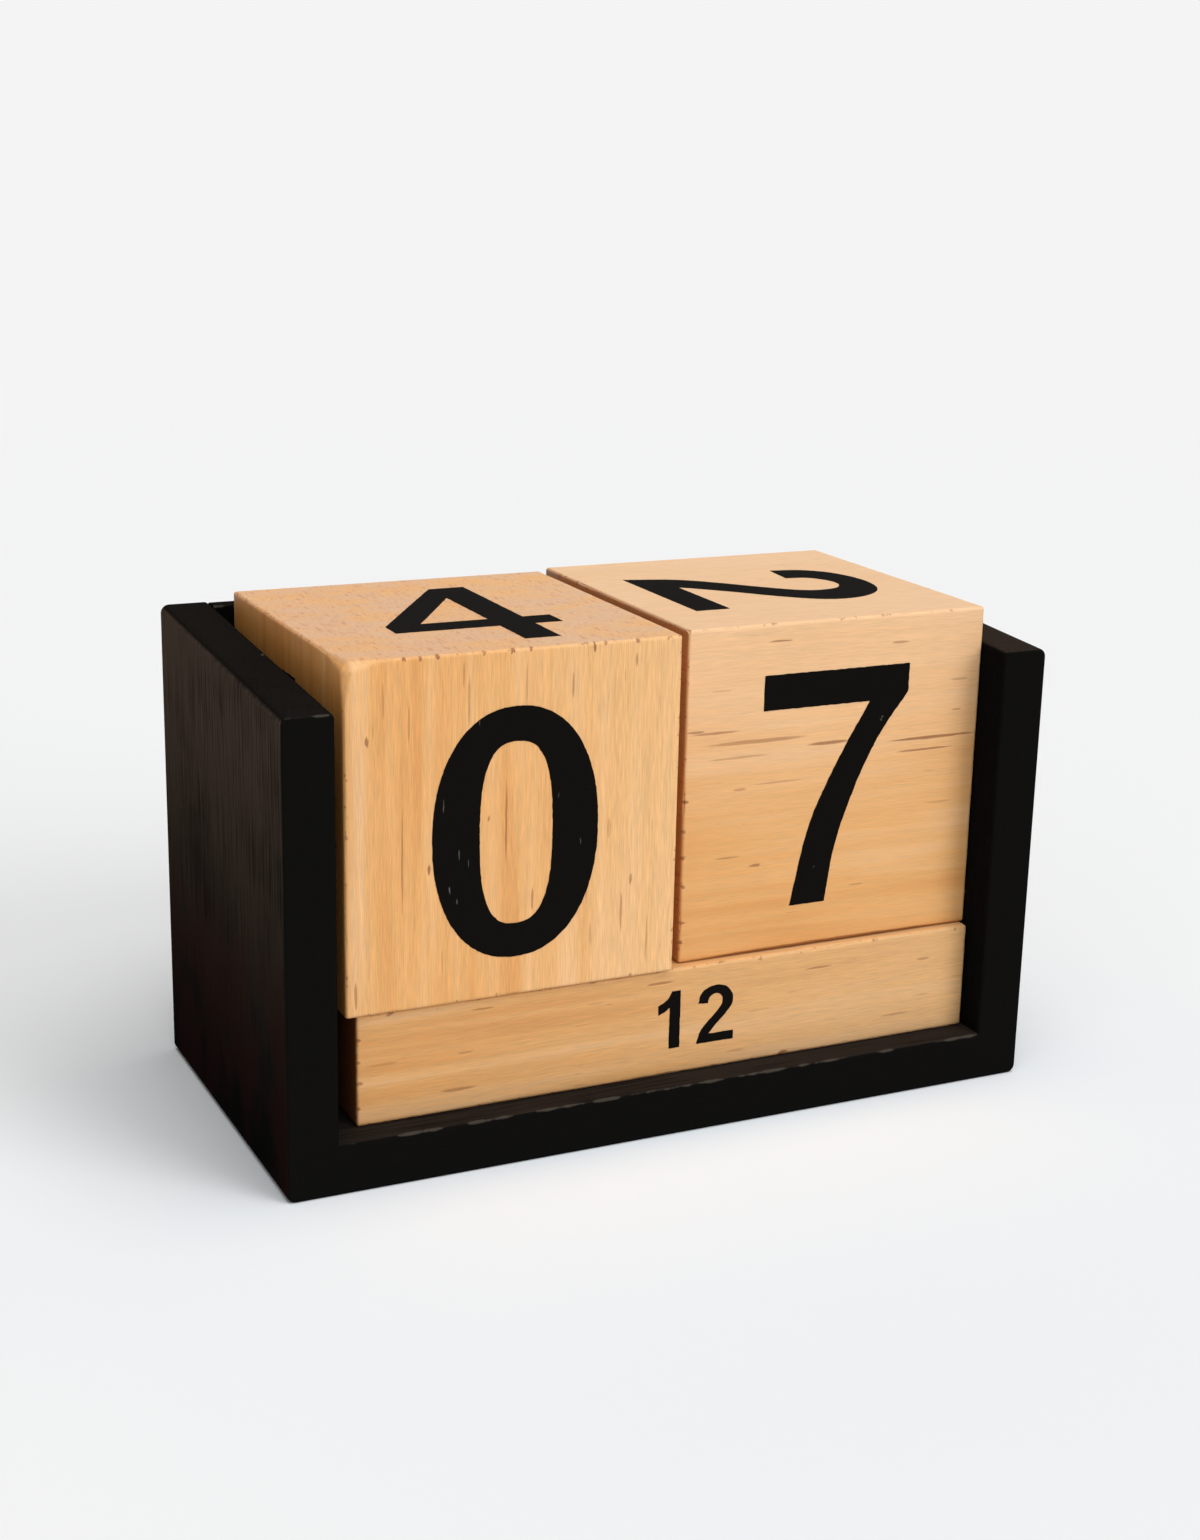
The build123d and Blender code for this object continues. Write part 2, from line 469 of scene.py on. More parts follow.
# %% Bare pine
PINE_PALE = (0.77, 0.465, 0.235, 1)
PINE_DEEP = (0.63, 0.285, 0.083, 1)
# Resin's colour, also used for dirt and for painted shade along edges and gaps.
RESIN_AND_SHADE = (0.22, 0.062, 0.014, 1)
CLOUD_TONE, LATE_TONE, FIBRE_TONE, FINE_TONE, SAP_TONE = 1.1, 0.17, 0.42, 0.30, -0.34
TO_MIDDLE, TO_DEEP = (0.36, 0.98), (0.90, 1.38)  # tones over which each colour gives way
SAP_SHARE = 0.85
RESIN_DASHES = (0.30 * MM, 0.30 * MM, 4.5 * MM)
DASH_NOISE, DASH_SHARE = (0.80, 0.87), 0.35
PINE_ROUGHNESS, PINE_RELIEF, PINE_GLOSS = 0.42, 0.03 * MM, 0.35


def pine(name, node, *, grain, shift, ring, shade, streaky, grainy, left_shade, sap, marks):
    """Bare pine, sawn from the place in the trunk that shift gives.

    Ring is a year's growth. Shade is painted light and shade: it makes the whole block lighter or
    darker than its neighbours. Streaky is how far its bands differ in tone, and grainy how clear its
    fibres are. The colour for the faces that look left is painted shade on them. Sap is (axis, from,
    to, colour) of the change into sapwood.
    """
    material, tree = new_material(name)
    place, at = object_place(tree), grain_place(tree, grain, shift)
    cloud = noise_at(tree, at, CLOUDS, detail=2.0)
    wander = noise_at(tree, at, WANDER, detail=1.0, offset=(0.5, 0.1, 0.3))
    band = noise_at(tree, at, BANDS, detail=1.0, offset=(0.7, 0.3, 0.1))
    fibre = noise_at(tree, at, FIBRES, detail=2.0)
    fine = noise_at(tree, at, FINE_FIBRES, detail=1.0)
    *sap_border, sap_colour = sap
    sapwood = sapwood_share(tree, place, wander, *sap_border)

    tone = weighted(
        tree,
        (cloud, CLOUD_TONE), (late_wood(tree, at, wander, ring), LATE_TONE),
        (calc(tree, "SUBTRACT", band, 0.5), streaky),
        (fibre, FIBRE_TONE), (fine, FINE_TONE), (sapwood, SAP_TONE),
    )
    colour = blend_colours(tree, step(tree, tone, *TO_MIDDLE), PINE_PALE, PINE_MIDDLE)
    colour = blend_colours(tree, step(tree, tone, *TO_DEEP), colour, PINE_DEEP)
    colour = blend_colours(tree, product(tree, sapwood, SAP_SHARE), colour, sap_colour)
    colour = with_end_grain(tree, place, colour, grain)

    # The fibres' own light and dark, the block's shade, which is painted light and shade, and painted
    # shade on the faces that look left.
    grains = calc(tree, "MULTIPLY_ADD", fine, 0.55, product(tree, fibre, 0.35))
    depth = calc(tree, "MULTIPLY_ADD", calc(tree, "SUBTRACT", grains, 0.45), grainy, 1.0)
    colour = blend_colours(tree, 1.0, colour, product(tree, depth, shade), "MULTIPLY")
    to_left = step(tree, xyz(tree, way_out(tree))["X"], -ASLANT, -SQUARE)
    colour = blend_colours(tree, to_left, colour, left_shade, "MULTIPLY")

    # Resin: sparse dashes everywhere and the marks that this very piece has, among which one painted
    # shadow on the right cube; then dirt and painted shade along the edges.
    dash = noise_at(tree, at, RESIN_DASHES, offset=(0.31, 0.17, 0.05))
    dashes = product(tree, step(tree, dash, *DASH_NOISE), DASH_SHARE)
    own = streak_marks(tree, frayed(tree, place, at, grain), marks)
    resin = calc(tree, "MAXIMUM", dashes, own)
    dark = calc(tree, "MAXIMUM", resin, edge_dirt_and_shade(tree, place, *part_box(node)))
    colour = blend_colours(tree, dark, colour, RESIN_AND_SHADE)

    relief = weighted(tree, (fibre, 0.7), (fine, 0.6), (resin, -1.0))
    rough = calc(tree, "ADD", PINE_ROUGHNESS, product(tree, fibre, 0.2))
    finish_shader(tree, colour, rough, relief, PINE_RELIEF, **{"Specular IOR Level": PINE_GLOSS})
    print(name, len(tree.nodes), "nodes")
    return material


# %% [markdown]
# Each block is sawn from another place in the trunk. The left cube's grain stands upright and the
# right cube's lies flat, as the photograph shows; a bar's grain always runs along its length. The
# streaks that tell these blocks apart were measured on the photograph, in millimetres from the
# upper left corner of the front face: how far right, how far down, how long along the grain, how
# wide and how dark.

# %% The marks that tell the blocks apart
LEFT_MARKS = [
    (3.3, 11.0, 1.6, 0.45, 0.7), (8.3, 28.5, 17.0, 0.25, 0.5), (12.2, 30.0, 1.7, 0.4, 0.75),
    (23.6, 24.5, 14.0, 0.26, 0.6), (27.7, 36.2, 4.2, 0.3, 0.55), (33.5, 5.8, 5.0, 0.3, 0.5),
    (41.6, 39.8, 6.5, 0.35, 0.45), (43.0, 35.2, 2.0, 0.4, 0.55), (45.8, 44.5, 8.5, 0.28, 0.4),
    (1.5, 47.0, 4.0, 0.35, 0.5), (21.0, 24.0, 1.0, 0.3, 0.55), (17.2, 3.0, 4.0, 0.25, 0.35),
    (9.3, 9.5, 6.0, 0.25, 0.4), (43.1, 2.8, 2.4, 0.35, 0.5), (39.4, 27.0, 3.6, 0.6, 0.25),
    (31.0, 13.0, 3.0, 0.3, 0.3), (36.8, 42.5, 4.0, 0.25, 0.3), (14.2, 44.0, 5.0, 0.22, 0.3),
    (8.6, 0.3, 0.9, 0.5, 0.8), (10.9, 0.4, 1.4, 0.4, 0.7), (13.4, 0.2, 0.8, 0.6, 0.8),
    (20.2, 0.3, 1.0, 0.5, 0.6), (24.4, 0.3, 1.2, 0.6, 0.8), (27.1, 0.2, 0.8, 0.5, 0.7),
    (36.6, 0.5, 1.8, 0.4, 0.8), (38.3, 0.2, 0.8, 0.5, 0.6), (43.2, 0.4, 1.2, 0.6, 0.7),
    (18.0, 7.0, 9.0, 0.3, 0.35), (5.6, 5.6, 6.0, 0.3, 0.3), (26.5, 5.0, 7.0, 0.25, 0.35),
]
RIGHT_MARKS = [
    (15.0, 2.7, 4.5, 0.3, 0.6), (35.6, 4.4, 3.0, 0.3, 0.5), (12.0, 17.4, 19.0, 0.55, 0.5),
    (24.0, 18.8, 8.5, 0.45, 0.7), (42.0, 19.6, 18.0, 0.4, 0.75), (41.0, 21.4, 12.0, 0.32, 0.65),
    (5.0, 15.6, 9.0, 0.3, 0.55), (9.0, 19.6, 12.0, 0.3, 0.35), (16.0, 24.0, 10.0, 0.25, 0.3),
    (12.3, 36.5, 2.2, 0.4, 0.6), (1.8, 15.2, 3.4, 0.4, 0.55), (9.2, 24.5, 2.6, 0.35, 0.4),
    (7.6, 34.8, 4.6, 0.3, 0.4), (46.4, 10.9, 3.6, 0.3, 0.35), (46.2, 15.6, 2.0, 0.3, 0.4),
    (30.0, 41.6, 3.0, 0.25, 0.3), (44.0, 30.0, 5.0, 0.3, 0.25), (6.0, 9.4, 4.0, 0.25, 0.25),
    (0.3, 25.5, 1.2, 0.5, 0.7), (0.3, 30.0, 1.0, 0.5, 0.6), (0.3, 34.0, 1.2, 0.5, 0.7),
    (0.3, 38.4, 1.0, 0.5, 0.7), (0.3, 44.0, 1.2, 0.5, 0.6), (0.3, 47.0, 1.3, 0.5, 0.75),
    # The last mark, a long dark line along the lower edge, is painted shadow in the gap above the bar.
    (25.0, 50.1, 54.0, 0.7, 0.8),
]
BAR_MARKS = [
    (19.0, 1.7, 4.5, 0.3, 0.5), (47.0, 2.0, 5.5, 0.35, 0.6), (74.0, 3.3, 5.0, 0.3, 0.5),
    (15.4, 13.4, 6.5, 0.4, 0.5), (16.5, 8.0, 3.0, 0.3, 0.4), (92.8, 4.5, 2.6, 0.3, 0.5),
    (4.0, 7.8, 5.0, 0.35, 0.3), (88.0, 13.0, 6.0, 0.3, 0.35), (60.0, 14.6, 4.0, 0.3, 0.3),
    (0.3, 3.7, 1.2, 0.5, 0.75), (0.3, 7.0, 1.0, 0.4, 0.6), (0.3, 10.2, 1.2, 0.5, 0.6),
    (0.3, 13.9, 1.2, 0.5, 0.75), (68.2, 16.3, 1.6, 0.7, 0.75), (5.0, 0.4, 1.4, 0.6, 0.6),
]
MARK_DEPTH = 0.8 * MM  # how far a mark reaches into the block
MARK_BREADTH = 0.7  # half of the noted width, and more for what its soft sides lose


def front_marks(node, upright, marks):
    """Marks of a front face, as streak_marks takes them."""
    low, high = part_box(node)
    placed = []
    for right, down, length, width, strength in marks:
        centre = Vector((low.x + right * MM, low.y, high.z - down * MM))
        along, across = length / 2 * MM, MARK_BREADTH * width * MM
        half = (across, MARK_DEPTH, along) if upright else (along, MARK_DEPTH, across)
        placed.append((centre, half, strength))
    return placed


# %% Saw the five blocks from the trunk
PINE_SAP = (0.725, 0.427, 0.188, 1)
# The right cube's pale upper part is partly sapwood and partly a painted sheen, growing towards its
# top.
WHITE_SAP_AND_SHEEN = (0.79, 0.505, 0.285, 1)
# Painted shade on the faces that look left: the left cube's side above the wall, the right cube's side
# in the gap between the cubes, and the bars' ends beside the left wall.
ORANGE_SHADED_SIDE = (0.95, 0.80, 0.55, 1)
DARK_SHADED_SIDE = (0.72, 0.52, 0.36, 1)
SHADED_BAR_END = (0.36, 0.20, 0.13, 1)
BAR_ROW_STEP = 0.21  # how far apart along the trunk the three bars are sawn
HIDDEN_MARKS = 3  # how many of the front bar's marks the other two have as well

# A block's shade is painted light and shade: the cubes a little lighter, the bars darker as in the
# cubes' shade.
left_wood = pine(
    "pine, upright grain", "left_number_cube", grain="Z", shift=(0.11, 0.045, 0.0),
    ring=5.5 * MM, shade=1.09, streaky=1.25, grainy=1.0, left_shade=ORANGE_SHADED_SIDE,
    sap=("X", -34 * MM, 4 * MM, PINE_SAP),
    marks=front_marks("left_number_cube", True, LEFT_MARKS),
)
right_wood = pine(
    "pine, lying grain", "right_number_cube", grain="X", shift=(0.05, 0.12, 0.3),
    ring=6.5 * MM, shade=1.04, streaky=0.7, grainy=0.6, left_shade=DARK_SHADED_SIDE,
    # Its sap is partly sapwood and partly a painted sheen towards the top.
    sap=("Z", 36 * MM, 88 * MM, WHITE_SAP_AND_SHEEN),
    marks=front_marks("right_number_cube", False, RIGHT_MARKS),
)
bar_woods = {}
for i, row in enumerate(("front", "middle", "rear")):
    node = f"{row}_month_bar"
    marks = BAR_MARKS if row == "front" else BAR_MARKS[:HIDDEN_MARKS]
    bar_woods[row] = pine(
        f"pine, {row} month bar", node, grain="X", shift=(0.09, 0.05, 0.7 + BAR_ROW_STEP * i),
        ring=4.5 * MM, shade=0.95, streaky=1.2, grainy=0.8, left_shade=SHADED_BAR_END,
        sap=("X", -60 * MM, 90 * MM, PINE_SAP), marks=front_marks(node, False, marks),
    )

# %% Make the five blocks
CUBE_ROWS, BAR_ROWS = (66, 66, 66), (110, 26, 26)  # points of the grid along x, y and z
WORN_CORNER, WORN_CORNER_RADIUS = (-1, -1, 1), 1.6 * MM  # left, front, top

blocks = {
    "left_cube": worn_block(
        "left_number_cube", CUBE_ROWS, 0.7, left_wood, WORN_CORNER, WORN_CORNER_RADIUS
    ),
    "right_cube": worn_block("right_number_cube", CUBE_ROWS, 1.9, right_wood),
}
for row, seed in (("front", 3.1), ("middle", 4.3), ("rear", 5.7)):
    blocks[f"{row}_bar"] = worn_block(f"{row}_month_bar", BAR_ROWS, seed, bar_woods[row])
for body, block in blocks.items():
    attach(block, body)

# %% [markdown]
# ## The numerals
#
# The numbers are printed in black: plain, heavy, upright figures, 36 mm tall on the cubes. Each
# figure is drawn here as one or two closed outlines in millimetres, from its lower left corner. A
# corner is a sharp point, a bend is a point that the outline passes through smoothly, and the
# nought and the bowls are formulas. A bar carries the plain number of its month.

# %% Outlines: corners, bends and ovals
FIGURE_HEIGHT, FIGURE_WIDTH = 36.4, 24.4
BOXY = 2.2  # how square the nought is; 2 would be an ellipse


def corner(x, y):
    return (x, y, False)


def bend(x, y):
    return (x, y, True)


def oval(x, y, across, up, squareness=BOXY, points=40):
    """A closed oval about a centre, with these half sizes."""
    outline = []
    for i in range(points):
        angle = 2 * math.pi * i / points
        c, s = math.cos(angle), math.sin(angle)
        outline.append(bend(
            x + math.copysign(abs(c) ** (2 / squareness), c) * across,
            y + math.copysign(abs(s) ** (2 / squareness), s) * up,
        ))
    return outline


FIGURES = {
    "0": [oval(12.2, 18.2, 12.2, 18.2), oval(12.2, 18.2, 5.35, 13.2, 2.7)],
    "1": [[
        corner(9.6, 0), corner(16.6, 0), corner(16.6, 36.4), corner(10.9, 36.4),
        bend(8.1, 31.6), corner(2.2, 28.1), corner(2.2, 22.1), bend(6.3, 23.9), corner(9.6, 26.3),
    ]],
    "2": [[
        corner(0, 0), corner(24.4, 0), corner(24.4, 5.6), corner(8.0, 5.6), bend(9.6, 7.7),
        bend(13.9, 12.3), bend(18.9, 17.2), bend(22.6, 22.0), bend(23.6, 26.2), bend(22.4, 30.9),
        bend(18.6, 34.9), bend(12.2, 36.4), bend(5.6, 34.8), bend(1.9, 31.2), corner(0.6, 26.0),
        corner(6.9, 25.3), bend(7.9, 29.0), bend(11.9, 31.1), bend(15.5, 29.7), bend(16.7, 26.1),
        bend(15.7, 22.6), bend(11.6, 17.9), bend(6.2, 12.7), bend(2.3, 7.6),
    ]],
    "3": [[
        corner(0.8, 26.6), bend(3.6, 33.4), bend(11.8, 36.4), bend(20.0, 33.5), bend(22.6, 27.4),
        bend(21.2, 22.6), bend(17.4, 19.5), bend(22.3, 16.4), bend(24.4, 10.6), bend(21.0, 3.2),
        bend(12.0, 0), bend(3.6, 2.7), corner(0, 10.0), corner(6.6, 10.9), bend(8.2, 6.8),
        bend(12.0, 5.4), bend(15.9, 6.9), bend(17.4, 10.7), bend(15.9, 14.5), bend(12.1, 16.1),
        corner(8.8, 15.7), corner(9.4, 21.6), bend(14.0, 22.4), bend(15.9, 26.5), bend(14.8, 29.8),
        bend(11.8, 31.1), bend(8.6, 29.8), corner(7.2, 25.8),
    ]],
    "4": [
        [
            corner(15.3, 0), corner(20.6, 0), corner(20.6, 8.9), corner(24.8, 8.9),
            corner(24.8, 13.6), corner(20.6, 13.6), corner(20.6, 36.6), corner(15.1, 36.6),
            corner(0, 13.3), corner(0, 8.9), corner(15.3, 8.9),
        ],
        [corner(15.3, 13.6), corner(5.3, 13.6), corner(15.3, 29.6)],
    ],
    "5": [[
        corner(4.0, 35.9), corner(22.6, 35.9), corner(22.6, 30.0), corner(9.0, 30.0),
        corner(7.9, 23.6), bend(12.8, 24.9), bend(21.0, 21.6), bend(24.4, 12.6), bend(20.6, 3.6),
        bend(11.6, 0), bend(3.4, 2.7), corner(0, 9.4), corner(6.8, 10.2), bend(8.4, 6.5),
        bend(11.9, 5.2), bend(15.8, 7.1), bend(17.3, 12.3), bend(15.7, 17.3), bend(11.7, 19.2),
        corner(6.8, 16.4), corner(1.0, 17.2),
    ]],
    "6": [
        [
            corner(23.4, 27.6), bend(19.9, 34.0), bend(12.9, 36.4), bend(3.7, 31.2), bend(0, 17.9),
            bend(3.6, 4.6), bend(12.4, 0), bend(20.9, 3.4), bend(24.4, 11.9), bend(21.1, 20.2),
            bend(13.4, 23.6), corner(7.0, 20.2), bend(8.7, 28.4), bend(12.9, 31.3),
            bend(15.6, 30.2), corner(16.9, 26.9),
        ],
        oval(12.5, 11.8, 5.3, 6.6, 2.2, 24),
    ],
    "7": [[
        corner(5.6, 0), corner(11.5, 0), bend(12.8, 8.6), bend(15.9, 17.9), bend(19.6, 25.4),
        corner(24.1, 31.6), corner(24.1, 35.9), corner(0, 35.9), corner(0, 30.6),
        corner(17.6, 30.6), bend(13.0, 22.6), bend(8.4, 12.6),
    ]],
    "8": [
        [
            bend(12.2, 36.4), bend(4.6, 33.7), bend(1.6, 27.0), bend(2.9, 22.4), bend(6.6, 19.4),
            bend(1.9, 16.0), bend(0, 10.3), bend(3.5, 2.9), bend(12.2, 0), bend(20.9, 2.9),
            bend(24.4, 10.3), bend(22.5, 16.0), bend(17.8, 19.4), bend(21.5, 22.4),
            bend(22.8, 27.0), bend(19.8, 33.7),
        ],
        oval(12.2, 26.6, 4.4, 4.7, 2.1, 24),
        oval(12.2, 10.9, 5.5, 5.4, 2.1, 24),
    ],
}
FIGURES["9"] = [
    [(FIGURE_WIDTH - x, FIGURE_HEIGHT - y, soft) for x, y, soft in outline] for outline in FIGURES["6"]
]
print("figures:", " ".join(sorted(FIGURES)))

# %% [markdown]
# An outline becomes a fine loop of points: straight between two corners, a smooth cubic wherever a
# bend is involved. The print's edge isn't knife sharp on real wood, so noise nudges each point by
# a few hundredths of a millimetre. Blender's noise starts elsewhere on each run unless it is given
# a seed. The loops are then filled, with the holes left open, and given the thickness of a film of
# ink.

# %% From outlines to flat figures
PRINT_STEP = 0.4  # millimetres between the points of an outline
PRINT_ROUGHNESS = 0.075  # millimetres that its edge wanders
PRINT_WAVES = 1.9  # how many times it wanders in a millimetre
BREADTH = 1.025  # how much broader the figures are printed than drawn
FIGURE_GAP = 3.4  # millimetres between the figures of a number, at the cubes' size
PRINT_SEED = 5
noise.seed_set(PRINT_SEED)


def traced(outline):
    """A fine closed loop of points through an outline's corners and bends."""
    count = len(outline)
    loop = []
    for i in range(count):
        before, start, end, after = (Vector(outline[(i + k) % count][:2]) for k in (-1, 0, 1, 2))
        chord = end - start
        leave = (end - before) / 2 if outline[i][2] else chord
        arrive = (after - start) / 2 if outline[(i + 1) % count][2] else chord
        leave = leave.normalized() * chord.length
        arrive = arrive.normalized() * chord.length
        steps = max(1, round(chord.length / PRINT_STEP))
        for k in range(steps):
            t = k / steps
            loop.append(
                start * (2 * t**3 - 3 * t**2 + 1) + leave * (t**3 - 2 * t**2 + t)
                + end * (3 * t**2 - 2 * t**3) + arrive * (t**3 - t**2)
            )
    return loop


def roughened(point, seed):
    """The same point, nudged as ink creeps on wood."""
    nudge = noise.noise_vector(Vector((point.x * PRINT_WAVES, point.y * PRINT_WAVES, seed)))
    return point + Vector((nudge.x, nudge.y)) * PRINT_ROUGHNESS


def figure_mesh(text, height, seed):
    """A flat bmesh of a number, centred on the origin, in metres."""
    flat = bmesh.new()
    scale = height / FIGURE_HEIGHT
    span = len(text) * FIGURE_WIDTH + (len(text) - 1) * FIGURE_GAP
    for place, figure in enumerate(text):
        start = place * (FIGURE_WIDTH + FIGURE_GAP) - span / 2
        for outline in FIGURES[figure]:
            spread = [(x * scale, y * scale, soft) for x, y, soft in outline]
            loop = [roughened(p, seed + place) for p in traced(spread)]
            verts = [
                flat.verts.new(((p.x + start * scale) * BREADTH * MM, (p.y - height / 2) * MM, 0))
                for p in loop
            ]
            for a, b in zip(verts, verts[1:] + verts[:1]):
                flat.edges.new((a, b))
    bmesh.ops.triangle_fill(
        flat, use_beauty=True, use_dissolve=False, edges=flat.edges[:], normal=(0, 0, 1)
    )
    return flat


# %% [markdown]
# The six faces of a block share one rule, so a face is named and the rule gives its outward
# direction, which way is up on it, and where its middle is. The film lies in the thin space that
# the block has left for it, so a number doesn't stand out of the block's modelled size.

# %% Print a number on a face
PRINT_THICKNESS = 0.9 * FILM
FACES = {  # face: outward direction, direction of a figure's top
    "front": ((0, -1, 0), (0, 0, 1)),
    "back": ((0, 1, 0), (0, 0, 1)),
    "left": ((-1, 0, 0), (0, 0, 1)),
    "right": ((1, 0, 0), (0, 0, 1)),
    "top": ((0, 0, 1), (0, 1, 0)),
    "under": ((0, 0, -1), (0, -1, 0)),
}


def turned_up(out, up, quarter_turns):
    """A figure's up, after quarter turns clockwise as its reader sees it."""
    return Matrix.Rotation(-quarter_turns * math.pi / 2, 3, out) @ up


def print_number(body, node, face, text, height, shift=(0, 0), turns=0):
    """A film of black ink in the shape of a number, on one face of a block."""
    low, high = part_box(node)
    out, up = (Vector(v) for v in FACES[face])
    up = turned_up(out, up, turns)
    right = up.cross(out)
    middle = (low + high) / 2
    half = (high - low) / 2
    surface = abs(out.dot(half))
    seed = 10 * len(bpy.data.meshes)
    film = figure_mesh(text, height, seed)
    made = bmesh.ops.extrude_face_region(film, geom=film.faces[:])
    lifted = [v for v in made["geom"] if isinstance(v, bmesh.types.BMVert)]
    bmesh.ops.translate(film, verts=lifted, vec=(0, 0, PRINT_THICKNESS))
    bmesh.ops.recalc_face_normals(film, faces=film.faces[:])
    origin = middle + out * (surface - FILM) + (right * shift[0] + up * shift[1]) * MM
    turn = Matrix((right, up, out)).transposed().to_4x4()
    film.transform(Matrix.Translation(origin) @ turn)
    mesh = bpy.data.meshes.new("number")
    film.to_mesh(mesh)
    film.free()
    number = bpy.data.objects.new(f"number-{text}-{node}-{face}", mesh)
    bpy.context.scene.collection.objects.link(number)
    mesh.materials.append(INK)
    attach(number, body)
    return number


# %% [markdown]
# ## The printing ink
#
# The ink is a matte black that follows the grain a little. Years of handling have left a few pale
# scratches on it. The clearest ones were measured on the photograph, as the streaks of the wood
# were, and the others come where a drawn-out noise peaks.

# %% Printing ink
INK_BLACK = (0.0062, 0.0056, 0.0048, 1)
SCUFF = (0.13, 0.13, 0.105, 1)
NOUGHT_SCUFFS = [
    (14.3, 21.2, 1.6, 0.14, 0.6), (19.5, 10.0, 1.0, 0.14, 0.4), (31.5, 21.5, 0.8, 0.14, 0.4),
    (16.6, 28.4, 1.3, 0.14, 0.5), (18.0, 29.8, 1.5, 0.14, 0.5), (15.2, 33.4, 1.0, 0.22, 0.9),
    (16.3, 35.2, 1.3, 0.16, 0.7), (35.0, 28.5, 0.9, 0.14, 0.5),
]
SEVEN_SCUFFS = [(33.0, 15.8, 0.8, 0.2, 0.6), (22.5, 38.0, 0.5, 0.14, 0.4)]
HANDLED_SPOTS = (7 * MM, 7 * MM, 7 * MM)
SCRATCHES = (0.28 * MM, 0.28 * MM, 1.1 * MM)
SCRATCH_SLANT = 0.5
SCRATCH_NOISE, SCRATCH_SHARE = (0.84, 0.98), 0.4
INK_FRAY = 2.0  # the ink's scuffs are frayed more finely than the wood's streaks
INK_ROUGHNESS, INK_RELIEF, INK_GLOSS = 0.45, 0.012 * MM, 0.002


def printing_ink():
    material, tree = new_material("black printing ink")
    place = object_place(tree)
    sideways = vector(tree, "CROSS_PRODUCT", place, (0, 1, 0))
    slanted = vector(tree, "ADD", place, scaled(tree, sideways, SCRATCH_SLANT))
    scratch = noise_at(tree, slanted, SCRATCHES, detail=2.0, offset=(0.4, 0.1, 0.2))
    handled = noise_at(tree, place, HANDLED_SPOTS, detail=1.0)
    more = product(tree, calc(tree, "SUBTRACT", handled, 0.5), 0.55)
    wear = step(tree, calc(tree, "ADD", scratch, more), *SCRATCH_NOISE)
    marks = front_marks("left_number_cube", True, NOUGHT_SCUFFS)
    marks += front_marks("right_number_cube", False, SEVEN_SCUFFS)
    own = streak_marks(tree, frayed(tree, place, scaled(tree, place, INK_FRAY), "Z"), marks)
    light = calc(tree, "MAXIMUM", own, product(tree, wear, SCRATCH_SHARE))
    colour = blend_colours(tree, light, INK_BLACK, SCUFF)
    rough = calc(tree, "ADD", INK_ROUGHNESS, product(tree, scratch, 0.2))
    finish_shader(tree, colour, rough, scratch, INK_RELIEF, **{"Specular IOR Level": INK_GLOSS})
    return material


INK = printing_ink()
print(INK.name, "with", len(NOUGHT_SCUFFS) + len(SEVEN_SCUFFS), "scuffs")

# %% [markdown]
# With two cubes every day from 01 to 31 can be shown: both carry 0, 1 and 2, the left one also 3, 4
# and 5, and the right one 6, 7 and 8, where the 6 stands on its head for a 9. The photograph shows
# 0 and 7 in front, a 4 and, lying on its side, a 2 on top; the others go where nothing shows.

# %% Print the cubes
# Each row is a face, its figure, how far right and up it sits (mm), and its quarter turns.
CUBE_NUMBERS = {
    ("left_cube", "left_number_cube"): [
        ("front", "0", (0.0, -1.1), 0),
        ("top", "4", (0.1, -1.6), 0),
        ("left", "1", (0.3, 0.2), 0),
        ("right", "3", (-0.2, 0.1), 0),
        ("back", "2", (0.1, -0.3), 0),
        ("under", "5", (0.2, 0.1), 1),
    ],
    ("right_cube", "right_number_cube"): [
        ("front", "7", (0.1, -0.25), 0),
        ("top", "2", (1.1, 0.3), 1),
        ("left", "0", (0.2, 0.2), 0),
        ("right", "1", (-0.3, 0.1), 0),
        ("back", "8", (0.1, -0.2), 0),
        ("under", "6", (0.3, 0.1), 3),
    ],
}
for (body, node), numbers in CUBE_NUMBERS.items():
    for face, text, shift, turns in numbers:
        print_number(body, node, face, text, FIGURE_HEIGHT, shift, turns)

# %% [markdown]
# Twelve months need three bars of four faces each. A bar's number is small, and sits a little right
# of the middle of its face.

# %% Print the month bars
MONTH_HEIGHT = 9.0  # millimetres
MONTH_PLACE = (2.6, 0.3)  # how far right of the middle and above it, in millimetres
MONTHS = {
    ("front_bar", "front_month_bar"): {"front": "12", "top": "9", "back": "10", "under": "11"},
    ("middle_bar", "middle_month_bar"): {"front": "5", "top": "6", "back": "7", "under": "8"},
    ("rear_bar", "rear_month_bar"): {"front": "1", "top": "2", "back": "3", "under": "4"},
}
for (body, node), numbers in MONTHS.items():
    for face, text in numbers.items():
        print_number(body, node, face, text, MONTH_HEIGHT, MONTH_PLACE)

# %% [markdown]
# ## The black paint
#
# The holder is painted by brush in a thin black that lets the grain show as fine upright lines on the
# walls. The photograph has it brownish where it is thin: on the outer faces towards the top and a
# little on the upper edges; on the outer faces that brown is also a painted reflection, which grows
# towards the top. The back isn't seen there, and gets the same thin paint. The upper front edges carry
# a thin broken pale line, a painted highlight, and a little dust lies everywhere. The boards keep the
# meshes of the imported model, because their shape is already right, and get this finish.

# %% A painted highlight along the edges, and dust
HIGHLIGHT_BREAKS = (4.0 * MM, 4.0 * MM, 4.0 * MM)
HIGHLIGHT_REACH = 0.36 * MM  # how far the painted highlight spreads where it is broadest
DUST_CELLS = 190.0  # cells to a metre
SPECK_OUTSIDE, SPECK_INSIDE = 0.065, 0.035  # a speck's radius, in cells
DUSTY = (0.80, 0.82)  # a cell's random number has to be over these


